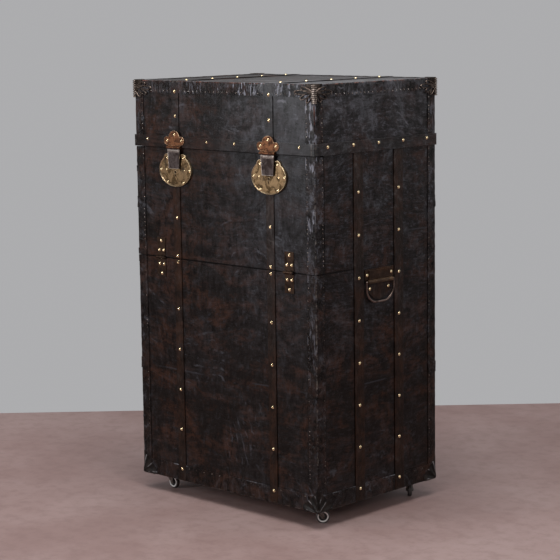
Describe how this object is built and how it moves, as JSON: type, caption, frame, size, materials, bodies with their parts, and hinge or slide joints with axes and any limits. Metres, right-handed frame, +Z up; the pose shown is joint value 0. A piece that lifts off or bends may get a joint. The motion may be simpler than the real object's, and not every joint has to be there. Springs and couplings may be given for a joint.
{
  "type": "wardrobe trunk",
  "caption": "Tall leather covered wardrobe trunk on swivel casters, with hinged lid, drop front flap, hasp locks, nailed straps and ring handles.",
  "frame": {"origin": "on the floor, at the middle of the whole trunk's width and depth", "axes": "+X to the right along the front, +Y to the back, +Z up"},
  "size_m": [0.5982, 0.4358, 1.0042],
  "materials": {
    "board": "plain sawn board",
    "lining": "woven cotton",
    "cover": "aged waxed leather",
    "binding": "aged waxed leather, worn edges",
    "strap": "aged waxed leather",
    "nails": "polished domes, darkened rims",
    "lock_brass": "mottled aged brass",
    "ring_metal": "aged brass",
    "hasp_copper": "brown copper plate",
    "old_steel": "dull, darkened",
    "iron": "black japanned, worn",
    "rail_metal": "plated tube",
    "caster_steel": "bright plated",
    "caster_wheel": "dark tread, bright ring"
  },
  "bodies": {
    "root": {"base_board": "board", "floor_lining": "lining", "side_panel_left": "board", "side_panel_right": "board", "back_panel": "board", "front_panel": "board", "body_leather": "cover", "body_lining": "lining", "body_bindings": "binding", "bottom_corner_caps": "iron", "lower_front_straps": "strap", "back_straps": "strap", "side_strips": "strap", "body_nails": "nails", "handle_tabs": "strap", "handle_backings": "binding", "flap_hinge_lower_leaves": "old_steel", "flap_hinge_pins": "old_steel", "lid_hinge_lower_leaves": "old_steel", "lid_hinge_pins": "old_steel", "garment_rail": "rail_metal", "rail_sockets": "old_steel", "caster_plates": "old_steel", "caster_screws": "old_steel", "caster_kingpins": "old_steel"},
    "lid": {"lid_top_board": "board", "lid_wall_boards": "board", "lid_leather": "cover", "lid_lining": "lining", "lid_lip": "board", "lid_rim_band": "binding", "lid_bindings": "binding", "top_corner_caps": "hasp_copper", "lid_straps": "strap", "lid_nails": "nails", "hasp_plates": "hasp_copper", "hasp_pins": "old_steel", "lid_hinge_upper_leaves": "old_steel"},
    "flap": {"flap_front_board": "board", "flap_return_boards": "board", "flap_leather": "cover", "flap_lining": "lining", "flap_corner_bindings": "binding", "flap_straps": "strap", "flap_nails": "nails", "lock_plates": "lock_brass", "lock_cases": "iron", "flap_hinge_upper_leaves": "old_steel"},
    "hasp_left": {"hasp_tongue_left": "old_steel"},
    "hasp_right": {"hasp_tongue_right": "old_steel"},
    "ring_left": {"handle_ring_left": "ring_metal"},
    "ring_right": {"handle_ring_right": "ring_metal"},
    "fork_front_left": {"caster_fork_front_left": "caster_steel"},
    "wheel_front_left": {"caster_wheel_front_left": "caster_wheel"},
    "fork_front_right": {"caster_fork_front_right": "caster_steel"},
    "wheel_front_right": {"caster_wheel_front_right": "caster_wheel"},
    "fork_back_left": {"caster_fork_back_left": "caster_steel"},
    "wheel_back_left": {"caster_wheel_back_left": "caster_wheel"},
    "fork_back_right": {"caster_fork_back_right": "caster_steel"},
    "wheel_back_right": {"caster_wheel_back_right": "caster_wheel"}
  },
  "joints": [
    {"name": "lid_hinge", "type": "hinge", "parent": "root", "child": "lid", "pos_m": [0, 0.2141, 0.8442], "axis": [-1, 0, 0], "range_deg": [0, 100]},
    {"name": "flap_hinge", "type": "hinge", "parent": "root", "child": "flap", "pos_m": [0, -0.2107, 0.581], "axis": [1, 0, 0], "range_deg": [0, 170]},
    {"name": "hasp_left_pivot", "type": "hinge", "parent": "lid", "child": "hasp_left", "pos_m": [-0.153, -0.2143, 0.8458], "axis": [-1, 0, 0], "range_deg": [0, 150]},
    {"name": "ring_left_swing", "type": "hinge", "parent": "root", "child": "ring_left", "pos_m": [-0.29455, 0.0057, 0.546], "axis": [0, 1, 0], "range_deg": [0, 150]},
    {"name": "hasp_right_pivot", "type": "hinge", "parent": "lid", "child": "hasp_right", "pos_m": [0.153, -0.2143, 0.8458], "axis": [-1, 0, 0], "range_deg": [0, 150]},
    {"name": "ring_right_swing", "type": "hinge", "parent": "root", "child": "ring_right", "pos_m": [0.29455, 0.0057, 0.546], "axis": [0, -1, 0], "range_deg": [0, 150]},
    {"name": "swivel_front_left", "type": "hinge", "parent": "root", "child": "fork_front_left", "pos_m": [-0.245, -0.1633, 0.034], "axis": [0, 0, 1], "continuous": true},
    {"name": "spin_front_left", "type": "hinge", "parent": "fork_front_left", "child": "wheel_front_left", "pos_m": [-0.231, -0.1633, 0.0155], "axis": [0, 1, 0], "continuous": true},
    {"name": "swivel_front_right", "type": "hinge", "parent": "root", "child": "fork_front_right", "pos_m": [0.245, -0.1633, 0.034], "axis": [0, 0, 1], "continuous": true},
    {"name": "spin_front_right", "type": "hinge", "parent": "fork_front_right", "child": "wheel_front_right", "pos_m": [0.25507, -0.15357, 0.0155], "axis": [-0.6947, 0.7193, 0], "continuous": true},
    {"name": "swivel_back_left", "type": "hinge", "parent": "root", "child": "fork_back_left", "pos_m": [-0.245, 0.1667, 0.034], "axis": [0, 0, 1], "continuous": true},
    {"name": "spin_back_left", "type": "hinge", "parent": "fork_back_left", "child": "wheel_back_left", "pos_m": [-0.23184, 0.17149, 0.0155], "axis": [-0.342, 0.9397, 0], "continuous": true},
    {"name": "swivel_back_right", "type": "hinge", "parent": "root", "child": "fork_back_right", "pos_m": [0.245, 0.1667, 0.034], "axis": [0, 0, 1], "continuous": true},
    {"name": "spin_back_right", "type": "hinge", "parent": "fork_back_right", "child": "wheel_back_right", "pos_m": [0.25472, 0.15663, 0.0155], "axis": [0.7193, 0.6947, 0], "continuous": true}
  ]
}
